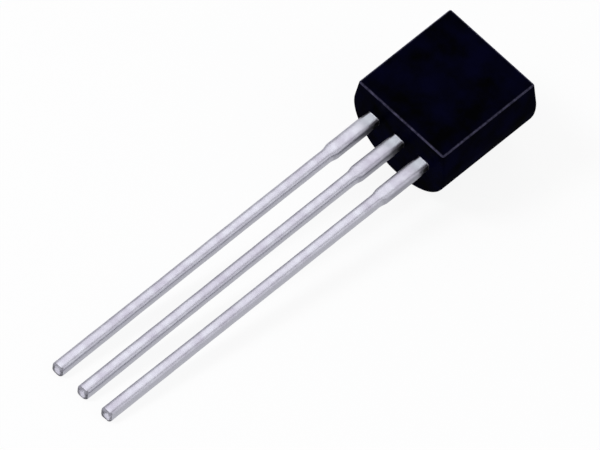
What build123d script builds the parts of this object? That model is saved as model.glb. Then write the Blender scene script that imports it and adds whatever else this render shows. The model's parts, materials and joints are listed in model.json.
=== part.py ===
from build123d import *
import os
from math import asin, atan2, cos, degrees, hypot, radians, sin, tan

# A three-lead voltage regulator in a small moulded package with a D-shaped section, in millimetres.
# The pieces are drawn in the package's own directions: X across the flat, leads along -Y,
# the flat facing +Z, and z = 0 on the plane where the two halves of the mould meet.
# At the end they are turned together into the pose in which the loose part lies on a table.

# Moulded body
flat_width = 4.32         # before its edges are rounded
flat_height = 1.16        # mould's parting plane to the flat
back_radius = 2.33        # round back, with straight sides from it up to the flat
back_centre = 0.18        # parting plane to the back's centre line
body_length = 4.62        # along the leads, at the parting plane
end_draft = 1.5           # degrees, on both ends of both mould halves
edge_radius = 0.09        # every moulded edge
gate_width = 0.90         # broken-off gate, on the end that has no leads
gate_height = 0.30
gate_stub = 0.05          # how far the broken gate stands out

# Stamped and plated leads, outside the body
lead_pitch = 1.27
lead_length = 15.40       # body to tip
lead_width = 0.44
lead_thickness = 0.44     # the leads' front faces are flush with the parting plane
lead_corner = 0.06        # rounding of the plated section's corners
root_width = 0.58         # wider stretch next to the body
root_length = 2.00
shoulder_length = 0.12    # taper from the root to the narrow lead
tip_chamfer = 0.04

# The same leads, inside the body
anchor_depth = 0.30       # rounded section becomes a plain stamped strip
post_start = 1.00         # bond posts, on the two outer leads
post_length = 0.75
post_inside = 0.66        # reach of a post towards the middle lead, from its own centre line
post_outside = 0.52       # reach the other way
post_gap = 0.25           # between the posts and the paddle
paddle_width = 2.00       # the paddle carries the die, on the middle lead
paddle_length = 1.90
frame_corner = 0.08
lock_radius = 0.16        # side notches that hold the paddle in the moulding

# Die and what joins it to the leads
die_width = 1.15
die_length = 1.25
die_thickness = 0.28
attach_thickness = 0.03
attach_margin = 0.06      # adhesive squeezed out round the die
pad_inset = 0.13          # centres of the bond pads, in from the die's edges
wire_radius = 0.015
wire_loop = 0.22          # top of the wire above the die
wire_bend = 0.06          # slanted stretch between its rise and its fall
foot_length = 0.12        # flattened stretch on the post
foot_sink = 0.008         # how much of the round wire the foot loses
ball_radius = 0.045       # the ball is squashed flat on its pad
ball_height = 0.025

# Places that follow from the sizes above
back_depth = back_centre + back_radius
post_y = post_start + post_length / 2
paddle_start = post_start + post_length + post_gap
die_y = paddle_start + paddle_length / 2
die_top = attach_thickness + die_thickness
pad_x = die_width / 2 - pad_inset
pad_y = die_y - die_length / 2 + pad_inset


def package_outline():
    """The closed D-shaped body, with drafted ends, rounded edges and the stub of the gate."""
    back = Pos(Y=-back_centre) * Edge.make_circle(back_radius)
    flat = Line((-flat_width / 2, flat_height), (flat_width / 2, flat_height))
    bar = extrude(Plane.XZ * make_hull([back, flat]), amount=-body_length)

    front_inset = flat_height * tan(radians(end_draft))
    back_inset = back_depth * tan(radians(end_draft))
    side_view = Polyline(
        (0, 0),
        (front_inset, flat_height),
        (body_length - front_inset, flat_height),
        (body_length, 0),
        (body_length - back_inset, -back_depth),
        (back_inset, -back_depth),
        close=True,
    )
    body = bar & extrude(Plane.YZ * make_face(side_view), amount=back_radius, both=True)

    # What stays as it is: the parting line across each end, at z = 0, and the smooth lines
    # just above it where the sides run into the round back.
    kept = body.edges().filter_by_position(Axis.Z, -edge_radius, flat_height / 2)
    body = fillet(body.edges() - kept, edge_radius)
    gate = Pos(0, body_length, -gate_height / 2) * Box(gate_width, 2 * gate_stub, gate_height)
    return body + gate


def lead_section(width, y):
    """The rounded rectangle of a plated lead, looking along it at the given y."""
    across = Plane((0, y, -lead_thickness / 2), x_dir=(1, 0, 0), z_dir=(0, -1, 0))
    return across * RectangleRounded(width, lead_thickness, lead_corner)


def lead_outside():
    """What shows of a lead: the wide root, its taper, and the narrow lead with a sheared tip."""
    root = extrude(lead_section(root_width, anchor_depth), amount=anchor_depth + root_length)
    taper_end = -root_length - shoulder_length
    taper = loft([lead_section(root_width, -root_length), lead_section(lead_width, taper_end)])
    shank = extrude(lead_section(lead_width, taper_end), amount=lead_length + taper_end)
    tip = shank.faces().sort_by(Axis.Y)[0]
    return root + taper + chamfer(tip.edges(), tip_chamfer)


def block(x_from, x_to, y_from, y_to):
    """A rectangle of the frame's outline, given by its sides."""
    return Pos((x_from + x_to) / 2, (y_from + y_to) / 2) * Rectangle(x_to - x_from, y_to - y_from)


def stamped(outline):
    """The outline as stamped strip, with its corners rounded wherever it is free of the lead."""
    free = [corner for corner in outline.vertices() if corner.Y > anchor_depth + frame_corner]
    return extrude(fillet(free, frame_corner), amount=-lead_thickness)


def outer_lead(side):
    """An outer lead, at -X for side -1 and at +X for side 1, with the post for its bond wire."""
    neck = block(-root_width / 2, root_width / 2, anchor_depth, post_y)
    reach = sorted((-side * post_inside, side * post_outside))
    post = block(*reach, post_start, post_start + post_length)
    return Pos(X=side * lead_pitch) * (lead_outside() + stamped(neck + post))


def middle_lead():
    """The middle lead, which runs on into the paddle under the die."""
    neck = block(-root_width / 2, root_width / 2, anchor_depth, die_y)
    paddle = block(-paddle_width / 2, paddle_width / 2, paddle_start, paddle_start + paddle_length)
    strip = stamped(neck + paddle)
    for side in (-1, 1):
        strip -= Pos(side * paddle_width / 2, die_y) * Cylinder(lock_radius, 2 * lead_thickness)
    return lead_outside() + strip


def die():
    return Pos(0, die_y, attach_thickness + die_thickness / 2) * Box(die_width, die_length, die_thickness)


def die_adhesive():
    size = (die_width + 2 * attach_margin, die_length + 2 * attach_margin)
    return Pos(0, die_y) * extrude(RectangleRounded(*size, attach_margin), amount=attach_thickness)


def bond_wire(pad, foot, seats):
    """A ball-bonded wire from a pad on the die to a foot on the frame, cut flush with its seats."""
    run = Vector(*foot) - Vector(*pad)
    upright = Plane((*pad, 0), x_dir=run, z_dir=run.cross(Vector(0, 0, 1)))
    foot_height = wire_radius - foot_sink
    loop = Polyline(
        (0, die_top),
        (0, die_top + wire_loop - wire_bend),
        (wire_bend, die_top + wire_loop),
        (run.length - foot_length / 2, foot_height),
        (run.length + foot_length / 2, foot_height),
    )
    start = Pos(*pad, die_top) * Circle(wire_radius)
    wire = sweep(start, path=upright * loop, transition=Transition.RIGHT)
    wire += Pos(*pad, die_top + ball_height / 2) * Cylinder(ball_radius, ball_height)
    for seat in seats:
        wire -= seat
    return wire


def regulator():
    """Every piece by name, in the package's own directions."""
    pieces = {
        "output_lead": outer_lead(-1),
        "ground_lead": middle_lead(),
        "input_lead": outer_lead(1),
        "die_attach": die_adhesive(),
        "silicon_die": die(),
    }
    chip = pieces["silicon_die"]
    for name, side in (("output", -1), ("ground", 0), ("input", 1)):
        lead = pieces[name + "_lead"]
        foot = (side * lead_pitch, post_y)
        pieces[name + "_wire"] = bond_wire((side * pad_x, pad_y), foot, (chip, lead))
    body = package_outline()
    for insert in pieces.values():
        body -= insert
    pieces["moulded_body"] = body
    return pieces


def resting_pose(pieces):
    """Tips of the leads and lead end of the round back both on z = 0, flat up, length centred."""
    draft = radians(end_draft)
    edge_drop = back_depth - edge_radius
    edge_y = (edge_radius + edge_drop * sin(draft)) / cos(draft)
    tip_y = tip_chamfer - lead_length
    rise = edge_drop - lead_thickness
    tilt = atan2(rise, edge_y - tip_y) + asin(edge_radius / hypot(rise, edge_y - tip_y))
    lift = lead_thickness * cos(tilt) - tip_y * sin(tilt)
    turned = Pos(Z=lift) * Rot(X=degrees(tilt))
    length = (turned * Compound(list(pieces.values()))).bounding_box()
    return Pos(Y=-length.center().Y) * turned


def main():
    os.makedirs("parts", exist_ok=True)
    pieces = regulator()
    pose = resting_pose(pieces)
    for name, piece in pieces.items():
        export_step(pose * piece, f"parts/{name}.step")


if __name__ == "__main__":
    main()
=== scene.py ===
import json
from math import copysign, cos, pi, radians, sin, tan

import bmesh
import bpy
from bpy.props import FloatProperty, FloatVectorProperty, PointerProperty
from mathutils import Matrix, Quaternion, Vector, noise


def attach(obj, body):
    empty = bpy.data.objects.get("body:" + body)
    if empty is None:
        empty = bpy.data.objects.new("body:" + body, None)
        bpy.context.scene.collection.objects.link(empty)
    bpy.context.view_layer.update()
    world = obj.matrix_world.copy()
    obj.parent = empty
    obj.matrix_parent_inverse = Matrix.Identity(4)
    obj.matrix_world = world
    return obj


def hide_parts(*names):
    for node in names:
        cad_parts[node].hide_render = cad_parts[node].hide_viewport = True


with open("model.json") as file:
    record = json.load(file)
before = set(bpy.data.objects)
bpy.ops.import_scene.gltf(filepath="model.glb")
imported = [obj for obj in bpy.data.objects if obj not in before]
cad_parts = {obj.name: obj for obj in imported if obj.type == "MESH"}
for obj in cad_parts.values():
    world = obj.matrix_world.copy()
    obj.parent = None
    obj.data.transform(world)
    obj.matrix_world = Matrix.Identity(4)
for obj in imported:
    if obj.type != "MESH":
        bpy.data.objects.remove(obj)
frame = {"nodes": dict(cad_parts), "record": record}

bl_info = {
    "name": "Three-lead regulator looks",
    "version": (1, 0, 0),
    "blender": (4, 5, 0),
    "location": "3D View > Sidebar > Regulator",
    "description": "Finishes of a moulded three-lead voltage regulator, with its studio",
    "category": "Object",
}

MM = 0.001
UM = 0.000001

# The package's own directions, from the mounts in the record: X across the flat,
# Y from the lead tips to the body, Z out of the flat. The origin is on the middle
# lead's centre line, where the lead leaves the body. The patterns turn to these directions
# first and then take off package_offset.
mounts = {mount["name"]: mount for mount in frame["record"]["mounts"]}
flat_out = Vector(mounts["front_flat"]["axis"])
leads_out = Vector(mounts["lead_row"]["axis"])
package = Matrix((leads_out.cross(-flat_out), -leads_out, flat_out)).transposed().to_4x4()
tilt = Vector((0, -1, 0)).angle(leads_out)
package_offset = package.inverted() @ Vector(mounts["lead_row"]["pos_m"])
package.translation = mounts["lead_row"]["pos_m"]


def linear(hex_colour):
    """The linear red, green, blue and alpha of an sRGB hex colour."""
    channels = [int(hex_colour[place:place + 2], 16) / 255 for place in (1, 3, 5)]
    light = [c / 12.92 if c <= 0.04045 else ((c + 0.055) / 1.055) ** 2.4 for c in channels]
    return (*light, 1.0)


def add_node(tree, kind, inputs=None, **settings):
    """Adds a shader node. inputs gives each named socket a value, or the socket that feeds it,
    or the node whose first output feeds it."""
    node = tree.nodes.new(kind)
    for name, value in settings.items():
        setattr(node, name, value)
    for name, value in (inputs or {}).items():
        if isinstance(value, bpy.types.Node):
            value = next(output for output in value.outputs if output.enabled)
        if isinstance(value, bpy.types.NodeSocket):
            tree.links.new(value, node.inputs[name])
        else:
            node.inputs[name].default_value = value
    return node


def new_material(name):
    """An empty node material, and its tree."""
    material = bpy.data.materials.new(name)
    material.use_nodes = True
    tree = material.node_tree
    tree.nodes.clear()
    return material, tree


def place_in_package(tree):
    """Where a point of the surface lies, in mm and in the package's own directions."""
    source = add_node(tree, "ShaderNodeTexCoord")
    return add_node(
        tree, "ShaderNodeMapping",
        {
            "Vector": source.outputs["Object"],
            "Location": -package_offset / MM,
            "Rotation": (-tilt, 0, 0),
            "Scale": (1 / MM,) * 3,
        },
    )


def facing_in_package(tree):
    """The X, Y and Z of the surface's direction, in the package's own directions."""
    source = add_node(tree, "ShaderNodeTexCoord")
    turned = add_node(
        tree, "ShaderNodeMapping",
        {"Vector": source.outputs["Normal"], "Rotation": (-tilt, 0, 0)},
        vector_type="NORMAL",
    )
    return add_node(tree, "ShaderNodeSeparateXYZ", {"Vector": turned}).outputs


def finish_node(node_name, material):
    """Gives a CAD node its material, in every slot that it has."""
    for material_slot in frame["nodes"][node_name].material_slots:
        material_slot.material = material


# Materials


def moulded_epoxy(look):
    """Transfer-moulded epoxy, black with carbon and full of fused silica. The spark-eroded mould
    leaves a fine matte grain under a thin skin of resin, so the faces stay nearly black with a
    faint soft gloss. The thin mottled grey line on the rounded edges of the flat is a painted
    highlight, put into the colour and mottled in spots."""
    resin_ior = 1.55
    # Only the rounded edges of the flat face this way, up but not straight up: the painted
    # highlight goes there.
    edge_rise, edge_span, edge_full = 0.68, 0.32, 0.24
    # The parts of the noises' range that make the flow marks and the spots in the painted
    # highlight.
    first_flow, last_flow = 0.35, 0.65
    least_mottled, most_mottled, least_mottle = 0.3, 0.65, 0.25

    material, tree = new_material("transfer_moulded_epoxy")
    place, facing = place_in_package(tree), facing_in_package(tree)
    grain = add_node(
        tree, "ShaderNodeTexNoise",
        {"Vector": place, "Scale": MM / look.grain_pitch, "Detail": 3.0},
    )
    flow = add_node(
        tree, "ShaderNodeTexNoise", {"Vector": place, "Scale": MM / look.flow_size, "Detail": 4.0}
    )
    flow = add_node(
        tree, "ShaderNodeMapRange",
        {"Value": flow, "From Min": first_flow, "From Max": last_flow},
    )
    skin = add_node(
        tree, "ShaderNodeMix",
        {"Factor": flow, "A": tuple(look.colour), "B": tuple(look.flow_colour)},
        data_type="RGBA",
    )
    # The painted highlight: a lighter colour along the flat's rounded edges, mottled in spots.
    off_edge = add_node(
        tree, "ShaderNodeMath", {0: facing["Z"], 1: edge_rise}, operation="SUBTRACT"
    )
    off_edge = add_node(tree, "ShaderNodeMath", {0: off_edge}, operation="ABSOLUTE")
    on_edge = add_node(
        tree, "ShaderNodeMapRange",
        {"Value": off_edge, "From Min": edge_span, "From Max": edge_full},
    )
    mottle = add_node(
        tree, "ShaderNodeTexNoise", {"Vector": place, "Scale": MM / look.mottle_size, "Detail": 3.0}
    )
    mottle = add_node(
        tree, "ShaderNodeMapRange",
        {"Value": mottle, "From Min": least_mottled, "From Max": most_mottled, "To Min": least_mottle},
    )
    painted_edge_highlight = add_node(tree, "ShaderNodeMath", {0: on_edge, 1: mottle}, operation="MULTIPLY")
    colour = add_node(
        tree, "ShaderNodeMix",
        {"Factor": painted_edge_highlight, "A": skin, "B": tuple(look.edge_highlight_colour)},
        data_type="RGBA",
    )
    relief = add_node(tree, "ShaderNodeBump", {"Height": grain, "Distance": look.grain_depth})
    shader = add_node(
        tree, "ShaderNodeBsdfPrincipled",
        {
            "Base Color": colour,
            "Roughness": look.roughness,
            "IOR": resin_ior,
            "Specular IOR Level": 0.0,
            "Coat Weight": look.skin,
            "Coat Roughness": look.skin_roughness,
            "Coat IOR": resin_ior,
            "Normal": relief,
            "Coat Normal": relief,
        },
    )
    add_node(tree, "ShaderNodeOutputMaterial", {"Surface": shader})
    return material


def bleed_and_shade(tree, along, ripple, facing):
    """Painted shade on the lead's edges beside the body, shown as a film of resin: it reaches
    further from the body in some places than in others."""
    # Along the lead in mm, from 0 at the body to the tip at -Y.
    shade_far, shade_near, shade_fade = -0.9, -0.1, 0.25
    # How far a face turns to the side, as the X of its direction.
    shade_lean, shade_from, shade_full = 0.2, 0.4, 0.65

    shade_end = add_node(
        tree, "ShaderNodeMapRange", {"Value": ripple, "To Min": shade_far, "To Max": shade_near}
    )
    reach = add_node(tree, "ShaderNodeMath", {0: along, 1: shade_end}, operation="SUBTRACT")
    reach = add_node(
        tree, "ShaderNodeMapRange", {"Value": reach, "From Min": 0.0, "From Max": shade_fade}
    )
    turned = add_node(
        tree, "ShaderNodeMath", {0: facing["X"], 1: shade_lean}, operation="SUBTRACT"
    )
    turned = add_node(tree, "ShaderNodeMath", {0: turned}, operation="ABSOLUTE")
    on_edge = add_node(
        tree, "ShaderNodeMapRange",
        {"Value": turned, "From Min": shade_from, "From Max": shade_full},
    )
    return add_node(tree, "ShaderNodeMath", {0: reach, 1: on_edge}, operation="MULTIPLY")


def cut_end_shade(tree, parts, facing, look):
    """Painted shade on the cut end: none in one part and darker round that, most at its lower
    and -X sides, and less on its rolled top. The place of the unshaded part is found by folding
    the row of leads onto the middle one."""
    # Distances in mm from the middle of the part without painted shade.
    bright_middle = (0.08, 0.0, 0.04)
    rim_from, rim_full, rim_least, rim_wander = 0.1, 0.18, 0.1, 0.12
    # Which way the cut end faces, as the Y of its direction, and its rolled top, as the Z.
    end_from, end_full = -0.2, -0.5
    rolled_from, rolled_full, rolled_rim = 0.25, 0.6, 0.6

    half_pitch = mounts["lead_row"]["dims"]["spacing_x_mm"] / 2
    across = add_node(
        tree, "ShaderNodeMath",
        {0: parts["X"], 1: half_pitch, 2: -half_pitch}, operation="WRAP",
    )
    spot = add_node(tree, "ShaderNodeCombineXYZ", {"X": across, "Z": parts["Z"]})
    off_bright = add_node(
        tree, "ShaderNodeVectorMath", {0: spot, 1: bright_middle}, operation="DISTANCE"
    ).outputs["Value"]
    grit = add_node(
        tree, "ShaderNodeTexNoise",
        {"Vector": place_in_package(tree), "Scale": MM / look.fracture_pitch, "Detail": 2.0},
    )
    wandering = add_node(
        tree, "ShaderNodeMapRange",
        {"Value": grit, "To Min": -rim_wander, "To Max": rim_wander},
    )
    off_bright = add_node(tree, "ShaderNodeMath", {0: off_bright, 1: wandering})
    ring = add_node(
        tree, "ShaderNodeMapRange",
        {"Value": off_bright, "From Min": rim_from, "From Max": rim_full, "To Min": rim_least},
    )
    on_end = add_node(
        tree, "ShaderNodeMapRange",
        {"Value": facing["Y"], "From Min": end_from, "From Max": end_full},
    )
    rim = add_node(tree, "ShaderNodeMath", {0: on_end, 1: ring}, operation="MULTIPLY")
    rolled_top = add_node(
        tree, "ShaderNodeMapRange",
        {
            "Value": facing["Z"],
            "From Min": rolled_from,
            "From Max": rolled_full,
            "To Min": 1.0,
            "To Max": rolled_rim,
        },
    )
    return add_node(tree, "ShaderNodeMath", {0: rim, 1: rolled_top}, operation="MULTIPLY")


def matte_tin_plate(look):
    """Matte tin plated on stamped copper: pale, softly cloudy and faintly rippled. The stamped
    faces are smooth, and the shear-cut sides are darker, partly from their finish and partly as
    painted shade. Beside the body the stamped faces carry painted light, and the edges painted
    shade shown as a film of resin. The cut end has a rim of painted shade. Tin's own grain of a
    few microns is too fine to show, so its ripples are drawn coarser."""
    # Along the lead in mm, from 0 at the body to the tip at -Y.
    lit_from, lit_full = -0.7, -0.3
    root_from, root_full = -2.3, -1.8
    # How far a face turns to the side, as the X of its direction.
    stamped_until, stamped_full = 0.45, 0.15
    side_from, side_full = 0.4, 0.95
    # The part of the noise's range that clouds the tin, how metallic the tin under the painted
    # light beside the body looks, and how far the ripples change the roughness.
    clear_tin, cloudy_tin = 0.3, 0.7
    lit_metal = 0.05
    sheen_change = 0.08

    material, tree = new_material("matte_tin_plate")
    place, facing = place_in_package(tree), facing_in_package(tree)
    parts = add_node(tree, "ShaderNodeSeparateXYZ", {"Vector": place}).outputs
    along = parts["Y"]
    sideways = add_node(tree, "ShaderNodeMath", {0: facing["X"]}, operation="ABSOLUTE")
    ripple = add_node(
        tree, "ShaderNodeTexNoise",
        {"Vector": place, "Scale": MM / look.ripple_size, "Detail": 3.0},
    )
    cloud = add_node(
        tree, "ShaderNodeTexNoise", {"Vector": place, "Scale": MM / look.cloud_size, "Detail": 3.0}
    )
    cloud = add_node(
        tree, "ShaderNodeMapRange",
        {"Value": cloud, "From Min": clear_tin, "From Max": cloudy_tin},
    )
    plate = add_node(
        tree, "ShaderNodeMix",
        {"Factor": cloud, "A": tuple(look.colour), "B": tuple(look.cloud_colour)},
        data_type="RGBA",
    )

    # Painted light: next to the body the stamped faces are whiter, bluish and matt, where the
    # metal would mirror the dark body.
    near_body = add_node(
        tree, "ShaderNodeMapRange", {"Value": along, "From Min": lit_from, "From Max": lit_full}
    )
    stamped = add_node(
        tree, "ShaderNodeMapRange",
        {"Value": sideways, "From Min": stamped_until, "From Max": stamped_full},
    )
    painted_light = add_node(tree, "ShaderNodeMath", {0: near_body, 1: stamped}, operation="MULTIPLY")
    plate = add_node(
        tree, "ShaderNodeMix",
        {"Factor": painted_light, "A": plate, "B": tuple(look.painted_light_colour)},
        data_type="RGBA",
    )

    # The shear-cut sides are darker, partly from their finish and partly as painted shade, and
    # the wide root's sides carry the darkest painted shade.
    on_root = add_node(
        tree, "ShaderNodeMapRange", {"Value": along, "From Min": root_from, "From Max": root_full}
    )
    side = add_node(
        tree, "ShaderNodeMix",
        {"Factor": on_root, "A": tuple(look.sheared_and_shaded_colour), "B": tuple(look.root_side_shade_colour)},
        data_type="RGBA",
    )
    sheared_and_shaded = add_node(
        tree, "ShaderNodeMapRange",
        {"Value": sideways, "From Min": side_from, "From Max": side_full},
    )
    colour = add_node(
        tree, "ShaderNodeMix", {"Factor": sheared_and_shaded, "A": plate, "B": side}, data_type="RGBA"
    )

    # The painted shade beside the body and on the rim of the cut end is dull as well as dark.
    bled_and_shaded = bleed_and_shade(tree, along, ripple, facing)
    rim = cut_end_shade(tree, parts, facing, look)
    for dark, dark_colour in ((bled_and_shaded, look.bleed_shade_colour), (rim, look.rim_shade_colour)):
        colour = add_node(
            tree, "ShaderNodeMix",
            {"Factor": dark, "A": colour, "B": tuple(dark_colour)},
            data_type="RGBA",
        )
    dull = add_node(tree, "ShaderNodeMath", {0: bled_and_shaded, 1: rim}, operation="MAXIMUM")
    clean = add_node(tree, "ShaderNodeMapRange", {"Value": dull, "To Min": 1.0, "To Max": 0.0})
    metal = add_node(
        tree, "ShaderNodeMapRange", {"Value": painted_light, "To Min": 1.0, "To Max": lit_metal}
    )
    metal = add_node(tree, "ShaderNodeMath", {0: metal, 1: clean}, operation="MULTIPLY")
    sheen = add_node(
        tree, "ShaderNodeMapRange",
        {
            "Value": ripple,
            "To Min": look.roughness - sheen_change,
            "To Max": look.roughness + sheen_change,
        },
    )
    relief = add_node(tree, "ShaderNodeBump", {"Height": ripple, "Distance": look.ripple_height})
    shader = add_node(
        tree, "ShaderNodeBsdfPrincipled",
        {"Base Color": colour, "Metallic": metal, "Roughness": sheen, "Normal": relief},
    )
    add_node(tree, "ShaderNodeOutputMaterial", {"Surface": shader})
    return material


def sawn_silicon(look):
    """Silicon, polished on top and sawn at the sides. The top is dark and glossy, with the
    circuit's blocks of metal under clear glass. The sides are dull, with fine lines along the
    saw's cut. The blocks are drawn many times coarser than real ones, which wouldn't show."""
    silicon_ior = 3.88
    # A face counts as the top by the Z of its direction.
    top_from, top_full = 0.8, 0.95
    gap_share = 1 / 8
    wave_pitch = 0.314  # of the wave texture's own lines, at scale 1
    wave_waver = 1.5

    material, tree = new_material("sawn_silicon")
    place, facing = place_in_package(tree), facing_in_package(tree)
    top = add_node(
        tree, "ShaderNodeMapRange",
        {"Value": facing["Z"], "From Min": top_from, "From Max": top_full},
    )
    circuit = add_node(
        tree, "ShaderNodeTexBrick",
        {
            "Vector": place,
            "Color1": tuple(look.colour),
            "Color2": tuple(look.circuit_colour),
            "Mortar": tuple(look.colour),
            "Scale": 1.0,
            "Brick Width": look.block_length / MM,
            "Row Height": look.block_width / MM,
            "Mortar Size": look.block_width / MM * gap_share,
        },
    )
    colour = add_node(
        tree, "ShaderNodeMix",
        {"Factor": top, "A": tuple(look.colour), "B": circuit},
        data_type="RGBA",
    )
    lines = add_node(
        tree, "ShaderNodeTexWave",
        {
            "Vector": place,
            "Scale": wave_pitch * MM / look.saw_pitch,
            "Distortion": wave_waver,
            "Detail": 2.0,
        },
        bands_direction="Z",
    )
    sawn = add_node(tree, "ShaderNodeMapRange", {"Value": top, "To Min": 1.0, "To Max": 0.0})
    relief = add_node(
        tree, "ShaderNodeBump", {"Strength": sawn, "Height": lines, "Distance": look.saw_depth}
    )
    sheen = add_node(
        tree, "ShaderNodeMapRange",
        {"Value": top, "To Min": look.sawn_roughness, "To Max": look.polished_roughness},
    )
    shader = add_node(
        tree, "ShaderNodeBsdfPrincipled",
        {"Base Color": colour, "IOR": silicon_ior, "Roughness": sheen, "Normal": relief},
    )
    add_node(tree, "ShaderNodeOutputMaterial", {"Surface": shader})
    return material


def silver_filled_epoxy(look):
    """Epoxy full of silver flakes, squeezed out under the die and cured: pale grey and grainy,
    with a glint where a flake lies at the surface."""
    silver_share = 0.6
    sheen_change = 0.15

    material, tree = new_material("silver_filled_epoxy")
    flakes = add_node(
        tree, "ShaderNodeTexVoronoi",
        {"Vector": place_in_package(tree), "Scale": MM / look.flake_size},
    )
    colour = add_node(
        tree, "ShaderNodeMix",
        {"Factor": flakes, "A": tuple(look.colour), "B": tuple(look.resin_colour)},
        data_type="RGBA",
    )
    sheen = add_node(
        tree, "ShaderNodeMapRange",
        {
            "Value": flakes,
            "To Min": look.roughness - sheen_change,
            "To Max": look.roughness + sheen_change,
        },
    )
    relief = add_node(
        tree, "ShaderNodeBump", {"Height": flakes, "Distance": look.flake_height}
    )
    shader = add_node(
        tree, "ShaderNodeBsdfPrincipled",
        {"Base Color": colour, "Metallic": silver_share, "Roughness": sheen, "Normal": relief},
    )
    add_node(tree, "ShaderNodeOutputMaterial", {"Surface": shader})
    return material


def drawn_gold(look):
    """Gold wire, drawn fine through diamond dies: warm, bright and slightly satin from the dies'
    fine marks."""
    sheen_change = 0.08

    material, tree = new_material("drawn_gold")
    marks = add_node(
        tree, "ShaderNodeTexNoise",
        {"Vector": place_in_package(tree), "Scale": MM / look.mark_size, "Detail": 2.0},
    )
    colour = add_node(
        tree, "ShaderNodeMix",
        {"Factor": marks, "A": tuple(look.colour), "B": tuple(look.mark_colour)},
        data_type="RGBA",
    )
    sheen = add_node(
        tree, "ShaderNodeMapRange",
        {
            "Value": marks,
            "To Min": look.roughness - sheen_change,
            "To Max": look.roughness + sheen_change,
        },
    )
    relief = add_node(tree, "ShaderNodeBump", {"Height": marks, "Distance": look.mark_depth})
    shader = add_node(
        tree, "ShaderNodeBsdfPrincipled",
        {"Base Color": colour, "Metallic": 1.0, "Roughness": sheen, "Normal": relief},
    )
    add_node(tree, "ShaderNodeOutputMaterial", {"Surface": shader})
    return material


# Leads

section_points = 44
edge_steps = 6
# How large the rings are that close the cut end, as shares of the last section.
closing_shares = (0.42, 0.32, 0.22, 0.12)
weld_distance = 0.01 * UM
crease_angle = radians(40)


def smooth_step(share):
    """Eases from 0 to 1."""
    share = min(max(share, 0.0), 1.0)
    return share * share * (3 - 2 * share)


class LeadForm:
    """A CAD lead's sizes outside the body, in metres and in the package's own directions, and how
    far its tip has been bent aside."""

    def __init__(self, node_name, bend):
        end_length, slack = 0.5 * MM, 1 * UM
        to_package = package.inverted()
        corners = [to_package @ corner.co for corner in frame["nodes"][node_name].data.vertices]
        self.tip = min(corner.y for corner in corners)
        end = [corner for corner in corners if corner.y < self.tip + end_length]
        outside = [corner for corner in corners if corner.y < 0]
        self.centre = sum(corner.x for corner in end) / len(end)
        self.narrow = max(corner.x for corner in end) - self.centre
        self.root = max(corner.x for corner in outside) - self.centre
        self.root_end = min(c.y for c in outside if c.x - self.centre > self.root - slack)
        self.half_thickness = max(corner.z for corner in end)
        self.bend = bend

    def centre_at(self, y):
        """The middle of the lead, which the bend takes aside more and more towards the tip."""
        return self.centre + self.bend * (min(y, 0.0) / self.tip) ** 2

    def half_width(self, y, shoulder):
        """From the lead's middle to its side: the root, the shoulder, then the narrow lead."""
        return self.root + (self.narrow - self.root) * smooth_step((self.root_end - y) / shoulder)


def crowned_section(form, y, look):
    """The plated section at y: a rounded rectangle, rolled over on top, whose faces are crowned
    by the tin. Away from the body the crown stands a little proud of the CAD section, most of all
    towards the tip, where tin plates thickest, and the tin's thickness wanders."""
    proud = look.proud * smooth_step(-y / look.proud_from)
    proud += look.tip_swell * smooth_step((form.tip + look.swell_reach - y) / look.swell_reach)
    half_width = form.half_width(y, look.shoulder) + proud
    centre = form.centre_at(y)
    ring = []
    for step in range(section_points):
        turn = 2 * pi * (step + 0.5) / section_points
        squareness = look.crown if sin(turn) > 0 else look.squareness
        across = copysign(abs(cos(turn)) ** (2 / squareness), cos(turn))
        up = copysign(abs(sin(turn)) ** (2 / squareness), sin(turn))
        half_height = form.half_thickness + (proud if up > 0 else 0)
        spot = Vector((across * half_width, 0, up * half_height))
        where = Vector((
            (spot.x + form.centre) / look.ripple_across,
            y / look.ripple_along,
            spot.z / look.ripple_across,
        ))
        thinned = look.ripple_depth * (0.5 + 0.5 * noise.noise(where))
        shrink = 1 - thinned / form.half_thickness
        ring.append(Vector((centre + spot.x * shrink, y, spot.z * shrink)))
    return ring


def sheared_end(form, x, z, look):
    """How far the cut end lies back from a plain cut: rolled over at the top, smooth below that,
    then broken and rough."""
    rolled_from, rolled_depth = 0.45, 0.2
    broken_below, broken_over = 0.1, 0.25
    even_share, rough_share = 0.6, 0.4
    height = z / form.half_thickness
    rolled = max(0.0, height - rolled_from) ** 2 * rolled_depth * form.half_thickness
    broken = smooth_step((broken_below - height) / broken_over)
    grit = noise.noise(Vector((x, 0, z)) / look.fracture_pitch + Vector((form.centre / MM, 0, 0)))
    return rolled + broken * look.fracture_depth * (even_share + rough_share * grit)


def lead_rings(form, look):
    """Sections from just inside the body to the tip, then the closing rings of the sheared end."""
    end = form.tip - look.tip_bead
    length = look.seat - end - look.tip_radius
    count = round(length / look.ring_spacing)
    rings = [
        crowned_section(form, look.seat - length * step / count, look)
        for step in range(count + 1)
    ]
    last = rings[-1]
    for step in range(1, edge_steps + 1):
        turn = pi / 2 * step / edge_steps
        inset = look.tip_radius * (1 - cos(turn))
        back = look.tip_radius * (1 - sin(turn))
        share = 1 - inset / form.half_thickness
        slant = tan(look.cut_slant) * sin(turn)
        rings.append(closing_ring(form, last, share, end + back, slant, look))
    for share in closing_shares:
        rings.append(closing_ring(form, last, share, end, tan(look.cut_slant), look))
    return rings


def closing_ring(form, last, share, y, slant, look):
    """The last section drawn in towards the middle of the cut end, which lies near y and slants
    back towards the top."""
    centre = form.centre_at(last[0].y)
    ring = []
    for corner in last:
        x, z = (corner.x - centre) * share, corner.z * share
        cut = y + slant * z + sheared_end(form, x, z, look)
        ring.append(Vector((centre + x, cut, z)))
    return ring


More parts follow.
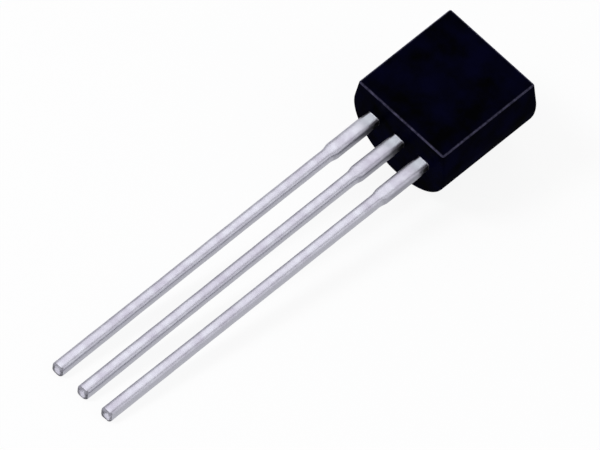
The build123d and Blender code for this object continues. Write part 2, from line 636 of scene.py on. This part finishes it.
def inner_part(node_name, cut):
    """What a CAD lead has inside the body, cut open at y and ready to be joined to new rings."""
    shell = bmesh.new()
    shell.from_mesh(frame["nodes"][node_name].data)
    bmesh.ops.remove_doubles(shell, verts=shell.verts, dist=weld_distance)
    bmesh.ops.bisect_plane(
        shell,
        geom=shell.verts[:] + shell.edges[:] + shell.faces[:],
        dist=weld_distance,
        plane_co=package @ Vector((0, cut, 0)),
        plane_no=leads_out,
        clear_outer=True,
    )
    return shell


def plated_lead(node_name, bend, look):
    """One lead: the CAD's stamped part inside the body, and the plated part outside it."""
    form = LeadForm(node_name, bend)
    shell = inner_part(node_name, look.seat)
    seat_edges = [edge for edge in shell.edges if edge.is_boundary]
    rows = [[shell.verts.new(package @ spot) for spot in ring] for ring in lead_rings(form, look)]
    for near, far in zip(rows, rows[1:]):
        for step in range(section_points):
            after = (step + 1) % section_points
            shell.faces.new((near[step], near[after], far[after], far[step]))
    shell.faces.new(rows[-1])
    first = set(rows[0])
    seat_edges += [e for e in shell.edges if e.is_boundary and set(e.verts) <= first]
    bmesh.ops.bridge_loops(shell, edges=seat_edges)
    bmesh.ops.recalc_face_normals(shell, faces=shell.faces)
    mesh = bpy.data.meshes.new("plated_" + node_name)
    shell.to_mesh(mesh)
    shell.free()
    mesh.shade_smooth()
    mesh.set_sharp_from_angle(angle=crease_angle)
    piece = bpy.data.objects.new("plated_" + node_name, mesh)
    bpy.context.scene.collection.objects.link(piece)
    return piece


# Settings


class RegulatorBodySettings(bpy.types.PropertyGroup):
    colour: FloatVectorProperty(
        name="Epoxy", description="Colour of the moulding compound", subtype="COLOR", size=4,
        min=0.0, max=1.0, default=linear("#010103"),
    )
    flow_colour: FloatVectorProperty(
        name="Flow marks", description="Colour where the compound flowed last", subtype="COLOR",
        size=4, min=0.0, max=1.0, default=linear("#030317"),
    )
    # Painted highlight along the flat's rounded edges, mottled in spots.
    edge_highlight_colour: FloatVectorProperty(
        name="Rubbed edges", description="Colour where the skin is worn off", subtype="COLOR",
        size=4, min=0.0, max=1.0, default=linear("#464459"),
    )
    roughness: FloatProperty(
        name="Roughness", description="Roughness of the epoxy under its skin", subtype="FACTOR",
        min=0.1, max=1.0, default=0.7,
    )
    skin: FloatProperty(
        name="Resin skin", description="How much of the surface the glossy skin covers",
        subtype="FACTOR", min=0.0, max=1.0, default=0.01,
    )
    skin_roughness: FloatProperty(
        name="Skin roughness", description="Roughness of the resin skin", subtype="FACTOR",
        min=0.05, max=1.0, default=0.3,
    )
    grain_pitch: FloatProperty(
        name="Grain", description="Spacing of the mould's spark-eroded grain", unit="LENGTH",
        min=10 * UM, default=50 * UM, precision=6,
    )
    flow_size: FloatProperty(
        name="Flow size", description="Size of the flow marks", unit="LENGTH",
        min=50 * UM, default=1.1 * MM, precision=5,
    )
    # Size of the spots that mottle the painted edge highlight.
    mottle_size: FloatProperty(
        name="Wear size", description="Size of the spots where the edges are worn", unit="LENGTH",
        min=10 * UM, default=0.14 * MM, precision=5,
    )
    grain_depth: FloatProperty(
        name="Grain depth", description="Depth of the mould's grain", unit="LENGTH",
        min=0.0, default=3 * UM, precision=6,
    )


class RegulatorLeadSettings(bpy.types.PropertyGroup):
    colour: FloatVectorProperty(
        name="Tin", description="Colour of the plating", subtype="COLOR", size=4,
        min=0.0, max=1.0, default=linear("#E3E3EF"),
    )
    cloud_colour: FloatVectorProperty(
        name="Cloudy tin", description="Colour of the plating's duller patches", subtype="COLOR",
        size=4, min=0.0, max=1.0, default=linear("#CCC8D8"),
    )
    # Painted light on the stamped faces next to the body.
    painted_light_colour: FloatVectorProperty(
        name="Fresh tin", description="Colour of the plating next to the body", subtype="COLOR",
        size=4, min=0.0, max=1.0, default=linear("#EEF3FF"),
    )
    # Partly the shear-cut finish, partly painted shade on the lead's sides.
    sheared_and_shaded_colour: FloatVectorProperty(
        name="Sheared sides", description="Colour of the tin on the sheared sides",
        subtype="COLOR", size=4, min=0.0, max=1.0, default=linear("#B2B2BC"),
    )
    # Painted shade on the sides of the wide root, beside the body.
    root_side_shade_colour: FloatVectorProperty(
        name="Root sides", description="Colour of the tin on the wide root's sides",
        subtype="COLOR", size=4, min=0.0, max=1.0, default=linear("#94949E"),
    )
    # Painted shade on the lead's edges beside the body, shown as a film of resin.
    bleed_shade_colour: FloatVectorProperty(
        name="Resin bleed", description="Colour of the film of resin beside the body",
        subtype="COLOR", size=4, min=0.0, max=1.0, default=linear("#0C0C12"),
    )
    # Painted shade on the rim of the cut end, also dimming the glint on its rolled top.
    rim_shade_colour: FloatVectorProperty(
        name="Cut rim", description="Colour of the rim of the cut end", subtype="COLOR", size=4,
        min=0.0, max=1.0, default=linear("#50505A"),
    )
    roughness: FloatProperty(
        name="Roughness", description="Mean roughness of the plating", subtype="FACTOR",
        min=0.1, max=1.0, default=0.4,
    )
    cloud_size: FloatProperty(
        name="Cloud size", description="Size of the plating's duller patches", unit="LENGTH",
        min=50 * UM, default=0.45 * MM, precision=5,
    )
    ripple_size: FloatProperty(
        name="Ripple size", description="Size of the plating's fine ripples", unit="LENGTH",
        min=10 * UM, default=0.16 * MM, precision=5,
    )
    ripple_height: FloatProperty(
        name="Fine ripple", description="Height of the plating's fine ripples", unit="LENGTH",
        min=0.0, default=3 * UM, precision=6,
    )
    ripple_depth: FloatProperty(
        name="Plating depth", description="How far the plating's thickness wanders",
        unit="LENGTH", min=0.0, default=8 * UM, precision=6,
    )
    ripple_along: FloatProperty(
        name="Wander along", description="Length of the plating's unevenness along a lead",
        unit="LENGTH", min=50 * UM, default=0.6 * MM, precision=5,
    )
    ripple_across: FloatProperty(
        name="Wander across", description="Length of the plating's unevenness across a lead",
        unit="LENGTH", min=50 * UM, default=0.3 * MM, precision=5,
    )
    crown: FloatProperty(
        name="Crown", description="Power of the section's rolled-over top half, 2 for round",
        min=2.0, max=12.0, default=3.2,
    )
    squareness: FloatProperty(
        name="Squareness", description="Power of the section's lower half, 2 for round", min=2.0,
        max=12.0, default=4.5,
    )
    proud: FloatProperty(
        name="Proud", description="How far the crowned tin stands out of the CAD lead's faces",
        unit="LENGTH", min=0.0, max=30 * UM, default=25 * UM, precision=6,
    )
    tip_swell: FloatProperty(
        name="Tip swell", description="How much further the tin stands out at the tip",
        unit="LENGTH", min=0.0, max=30 * UM, default=16 * UM, precision=6,
    )
    swell_reach: FloatProperty(
        name="Swell reach", description="Length of the thicker tin, back from the tip",
        unit="LENGTH", min=0.1 * MM, default=5 * MM, precision=5,
    )
    proud_from: FloatProperty(
        name="Proud from", description="Distance from the body at which the tin is fully crowned",
        unit="LENGTH", min=50 * UM, default=0.6 * MM, precision=5,
    )
    shoulder: FloatProperty(
        name="Shoulder", description="Length of the step from the root to the narrow lead",
        unit="LENGTH", min=10 * UM, default=0.35 * MM, precision=5,
    )
    seat: FloatProperty(
        name="Seat", description="How deep the plated part runs into the body", unit="LENGTH",
        min=10 * UM, max=0.25 * MM, default=0.05 * MM, precision=5,
    )
    ring_spacing: FloatProperty(
        name="Ring spacing", description="Spacing of the mesh along a lead", unit="LENGTH",
        min=20 * UM, default=0.08 * MM, precision=5,
    )
    tip_radius: FloatProperty(
        name="Tip edge", description="Rounding of the cut end's edges", unit="LENGTH",
        min=5 * UM, max=0.15 * MM, default=0.11 * MM, precision=5,
    )
    tip_bead: FloatProperty(
        name="Tip bead", description="How far the tin stands out at the tip", unit="LENGTH",
        min=0.0, max=0.1 * MM, default=0.1 * MM, precision=5,
    )
    bends: FloatVectorProperty(
        name="Bends", description="How far handling has bent each lead's tip aside", size=3,
        unit="LENGTH", precision=5, default=(0.03 * MM, 0.043 * MM, -0.011 * MM),
    )
    cut_slant: FloatProperty(
        name="Cut slant", description="How far the cut end leans back towards the top",
        subtype="ANGLE", unit="ROTATION", min=0.0, max=radians(20), default=radians(14),
    )
    fracture_depth: FloatProperty(
        name="Broken end", description="How far the broken part of the cut end lies back",
        unit="LENGTH", min=0.0, default=0.03 * MM, precision=5,
    )
    fracture_pitch: FloatProperty(
        name="Broken grain", description="Spacing of the broken end's roughness", unit="LENGTH",
        min=5 * UM, default=0.07 * MM, precision=5,
    )


class RegulatorDieSettings(bpy.types.PropertyGroup):
    colour: FloatVectorProperty(
        name="Silicon", description="Colour of the silicon", subtype="COLOR", size=4,
        min=0.0, max=1.0, default=linear("#2A2B30"),
    )
    circuit_colour: FloatVectorProperty(
        name="Circuit", description="Colour of the circuit's metal under its glass",
        subtype="COLOR", size=4, min=0.0, max=1.0, default=linear("#8D9A98"),
    )
    block_length: FloatProperty(
        name="Block length", description="Length of the circuit's blocks", unit="LENGTH",
        min=5 * UM, default=120 * UM, precision=6,
    )
    block_width: FloatProperty(
        name="Block width", description="Width of the circuit's blocks", unit="LENGTH",
        min=5 * UM, default=50 * UM, precision=6,
    )
    polished_roughness: FloatProperty(
        name="Polish", description="Roughness of the polished top", subtype="FACTOR",
        min=0.02, max=1.0, default=0.12,
    )
    sawn_roughness: FloatProperty(
        name="Sawn roughness", description="Roughness of the sawn sides", subtype="FACTOR",
        min=0.1, max=1.0, default=0.55,
    )
    saw_pitch: FloatProperty(
        name="Saw lines", description="Spacing of the lines that the saw leaves", unit="LENGTH",
        min=1 * UM, default=12 * UM, precision=6,
    )
    saw_depth: FloatProperty(
        name="Saw depth", description="Depth of the lines that the saw leaves", unit="LENGTH",
        min=0.0, default=1 * UM, precision=6,
    )


class RegulatorAdhesiveSettings(bpy.types.PropertyGroup):
    colour: FloatVectorProperty(
        name="Silver", description="Colour of the silver flakes", subtype="COLOR", size=4,
        min=0.0, max=1.0, default=linear("#C9C7BE"),
    )
    resin_colour: FloatVectorProperty(
        name="Resin", description="Colour of the resin between the flakes", subtype="COLOR",
        size=4, min=0.0, max=1.0, default=linear("#8F8C80"),
    )
    roughness: FloatProperty(
        name="Roughness", description="Mean roughness of the adhesive", subtype="FACTOR",
        min=0.2, max=0.85, default=0.5,
    )
    flake_size: FloatProperty(
        name="Flakes", description="Size of the silver flakes", unit="LENGTH",
        min=2 * UM, default=15 * UM, precision=6,
    )
    flake_height: FloatProperty(
        name="Flake height", description="How far the flakes stand out", unit="LENGTH",
        min=0.0, default=2 * UM, precision=6,
    )


class RegulatorWireSettings(bpy.types.PropertyGroup):
    colour: FloatVectorProperty(
        name="Gold", description="Colour of the gold wire", subtype="COLOR", size=4,
        min=0.0, max=1.0, default=linear("#FFE29B"),
    )
    mark_colour: FloatVectorProperty(
        name="Drawing marks", description="Colour where the dies have marked the wire",
        subtype="COLOR", size=4, min=0.0, max=1.0, default=linear("#F0CB7A"),
    )
    roughness: FloatProperty(
        name="Roughness", description="Mean roughness of the wire", subtype="FACTOR",
        min=0.1, max=0.9, default=0.2,
    )
    mark_size: FloatProperty(
        name="Marks", description="Size of the dies' marks", unit="LENGTH",
        min=1 * UM, default=6 * UM, precision=6,
    )
    mark_depth: FloatProperty(
        name="Mark depth", description="Depth of the dies' marks", unit="LENGTH",
        min=0.0, default=0.2 * UM, precision=7,
    )


class RegulatorStageSettings(bpy.types.PropertyGroup):
    floor_colour: FloatVectorProperty(
        name="Floor", description="Colour of the floor", subtype="COLOR", size=4,
        min=0.0, max=1.0, default=linear("#F4F4F6"),
    )
    floor_lift: FloatProperty(
        name="Floor lift", description="How far the seen floor is lifted towards white",
        subtype="FACTOR", min=0.0, max=1.0, default=0.9,
    )
    floor_reach: FloatProperty(
        name="Floor reach", description="From the middle of the floor to its sides",
        subtype="DISTANCE", unit="LENGTH", min=0.1, default=1.5,
    )
    surround: FloatProperty(
        name="Surround", description="Strength of the even light from the room", min=0.0,
        max=1.0, default=0.42,
    )
    azimuth: FloatProperty(
        name="Camera azimuth", description="Camera's bearing, anticlockwise from -Y",
        subtype="ANGLE", unit="ROTATION", default=radians(35.894),
    )
    elevation: FloatProperty(
        name="Camera elevation", description="Camera's height above the horizon",
        subtype="ANGLE", unit="ROTATION", default=radians(52.363),
    )
    roll: FloatProperty(
        name="Camera roll", description="Turn of the camera about its own view",
        subtype="ANGLE", unit="ROTATION", default=radians(12.501),
    )
    distance: FloatProperty(
        name="Camera distance", description="From the camera to what it looks at",
        subtype="DISTANCE", unit="LENGTH", min=0.05, default=0.5,
    )
    view_width: FloatProperty(
        name="View width", description="Width of the view at the object", subtype="DISTANCE",
        unit="LENGTH", min=0.001, default=0.021293, precision=5,
    )
    target: FloatVectorProperty(
        name="Target", description="The place that the camera looks at", size=3,
        subtype="TRANSLATION", unit="LENGTH", precision=5,
        default=(-0.4606 * MM, 1.1713 * MM, 0.1532 * MM),
    )


# Pieces


class REGULATOR_OT_body(bpy.types.Operator):
    """Finish the moulded body"""

    bl_idname = "regulator.body"
    bl_label = "Moulded body"

    def execute(self, context):
        finish_node("moulded_body", moulded_epoxy(context.scene.regulator_body))
        return {"FINISHED"}


class REGULATOR_OT_leads(bpy.types.Operator):
    """Finish the three leads"""

    bl_idname = "regulator.leads"
    bl_label = "Leads"

    def execute(self, context):
        look = context.scene.regulator_leads
        tin = matte_tin_plate(look)
        for name, bend in zip(("output_lead", "ground_lead", "input_lead"), look.bends):
            piece = plated_lead(name, bend, look)
            piece.data.materials.append(tin)
            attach(piece, "root")
            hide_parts(name)
        return {"FINISHED"}


class REGULATOR_OT_die(bpy.types.Operator):
    """Finish the silicon die"""

    bl_idname = "regulator.die"
    bl_label = "Silicon die"

    def execute(self, context):
        finish_node("silicon_die", sawn_silicon(context.scene.regulator_die))
        return {"FINISHED"}


class REGULATOR_OT_adhesive(bpy.types.Operator):
    """Finish the adhesive under the die"""

    bl_idname = "regulator.adhesive"
    bl_label = "Die adhesive"

    def execute(self, context):
        finish_node("die_attach", silver_filled_epoxy(context.scene.regulator_adhesive))
        return {"FINISHED"}


class REGULATOR_OT_wires(bpy.types.Operator):
    """Finish the three bond wires"""

    bl_idname = "regulator.wires"
    bl_label = "Bond wires"

    def execute(self, context):
        gold = drawn_gold(context.scene.regulator_wires)
        for name in ("output_wire", "ground_wire", "input_wire"):
            finish_node(name, gold)
        return {"FINISHED"}


# Stage


def floor_material(stage):
    """Matte card. The camera sees it lifted towards white, and it keeps the object's shadow."""
    material, tree = new_material("matte_card")
    card = add_node(tree, "ShaderNodeBsdfDiffuse", {"Color": tuple(stage.floor_colour)})
    glow = add_node(tree, "ShaderNodeEmission", {"Color": linear("#FFFFFF"), "Strength": 1.0})
    ray = add_node(tree, "ShaderNodeLightPath").outputs
    seen = add_node(
        tree, "ShaderNodeMath", {0: ray["Is Camera Ray"], 1: ray["Is Glossy Ray"]},
        operation="MAXIMUM",
    )
    seen = add_node(
        tree, "ShaderNodeMath", {0: seen, 1: ray["Is Transmission Ray"]}, operation="MAXIMUM"
    )
    lift = add_node(tree, "ShaderNodeMath", {0: seen, 1: stage.floor_lift}, operation="MULTIPLY")
    mix = add_node(tree, "ShaderNodeMixShader", {0: lift, 1: card, 2: glow})
    add_node(tree, "ShaderNodeOutputMaterial", {"Surface": mix})
    return material


def direction(azimuth, elevation):
    """The unit vector from the object towards a bearing and a height, as the camera's are given."""
    return Vector(
        (sin(azimuth) * cos(elevation), -cos(azimuth) * cos(elevation), sin(elevation))
    )


def add_softbox(name, azimuth, elevation, distance, width, height, power):
    """A rectangular area lamp that faces the object. Its angles are in degrees, its distance and
    sides in metres and its power in watts."""
    lamp = bpy.data.lights.new(name, "AREA")
    lamp.shape = "RECTANGLE"
    lamp.size, lamp.size_y = width, height
    lamp.energy = power
    box = bpy.data.objects.new(name, lamp)
    out = direction(radians(azimuth), radians(elevation))
    box.location = distance * out
    box.rotation_mode = "QUATERNION"
    box.rotation_quaternion = (-out).to_track_quat("-Z", "Y")
    bpy.context.scene.collection.objects.link(box)


def lay_floor(stage):
    """A plain pale floor under the object."""
    reach = stage.floor_reach
    mesh = bpy.data.meshes.new("floor")
    mesh.from_pydata(
        [(-reach, -reach, 0), (reach, -reach, 0), (reach, reach, 0), (-reach, reach, 0)],
        [],
        [(0, 1, 2, 3)],
    )
    mesh.materials.append(floor_material(stage))
    floor = bpy.data.objects.new("floor", mesh)
    bpy.context.scene.collection.objects.link(floor)


def add_camera(stage):
    """The camera, far off with a long lens, turned about its view as the photographer held it."""
    lens = bpy.data.cameras.new("camera")
    lens.sensor_fit = "HORIZONTAL"
    lens.sensor_width = 36.0
    lens.lens = lens.sensor_width * stage.distance / stage.view_width
    camera = bpy.data.objects.new("camera", lens)
    back = direction(stage.azimuth, stage.elevation)
    camera.location = Vector(stage.target) + stage.distance * back
    camera.rotation_mode = "QUATERNION"
    turn = Quaternion((0, 0, 1), stage.roll)
    camera.rotation_quaternion = (-back).to_track_quat("-Z", "Y") @ turn
    bpy.context.scene.collection.objects.link(camera)
    return camera


class REGULATOR_OT_stage(bpy.types.Operator):
    """Lay the floor, hang the lamps and set the camera"""

    bl_idname = "regulator.stage"
    bl_label = "Stage"

    def execute(self, context):
        stage = context.scene.regulator_stage
        lay_floor(stage)
        add_softbox("key_softbox", azimuth=-40, elevation=50, distance=0.3,
                    width=0.09, height=0.09, power=0.46)
        add_softbox("top_softbox", azimuth=-127, elevation=66, distance=0.4,
                    width=0.28, height=0.28, power=0.2)
        add_softbox("side_softbox", azimuth=116, elevation=31, distance=0.4,
                    width=0.22, height=0.42, power=0.21)

        world = bpy.data.worlds.new("studio")
        world.use_nodes = True
        world.node_tree.nodes.clear()
        room = add_node(
            world.node_tree, "ShaderNodeBackground",
            {"Color": linear("#FFFFFF"), "Strength": stage.surround},
        )
        add_node(world.node_tree, "ShaderNodeOutputWorld", {"Surface": room})
        context.scene.world = world
        context.scene.view_settings.view_transform = "Standard"
        context.scene.camera = add_camera(stage)
        return {"FINISHED"}


class REGULATOR_PT_panel(bpy.types.Panel):
    bl_label = "Regulator"
    bl_idname = "REGULATOR_PT_panel"
    bl_space_type = "VIEW_3D"
    bl_region_type = "UI"
    bl_category = "Regulator"

    def draw(self, context):
        for operator in operators:
            self.layout.operator(operator.bl_idname)


operators = (
    REGULATOR_OT_body,
    REGULATOR_OT_leads,
    REGULATOR_OT_die,
    REGULATOR_OT_adhesive,
    REGULATOR_OT_wires,
    REGULATOR_OT_stage,
)
settings = {
    "regulator_body": RegulatorBodySettings,
    "regulator_leads": RegulatorLeadSettings,
    "regulator_die": RegulatorDieSettings,
    "regulator_adhesive": RegulatorAdhesiveSettings,
    "regulator_wires": RegulatorWireSettings,
    "regulator_stage": RegulatorStageSettings,
}
classes = (*settings.values(), *operators, REGULATOR_PT_panel)


def register():
    for each in classes:
        bpy.utils.register_class(each)
    for name, group in settings.items():
        setattr(bpy.types.Scene, name, PointerProperty(type=group))


def unregister():
    for name in settings:
        delattr(bpy.types.Scene, name)
    for each in reversed(classes):
        bpy.utils.unregister_class(each)


def main():
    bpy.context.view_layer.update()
    register()
    bpy.ops.regulator.body()
    bpy.ops.regulator.leads()
    bpy.ops.regulator.die()
    bpy.ops.regulator.adhesive()
    bpy.ops.regulator.wires()
    bpy.ops.regulator.stage()


if __name__ == "__main__":
    main()
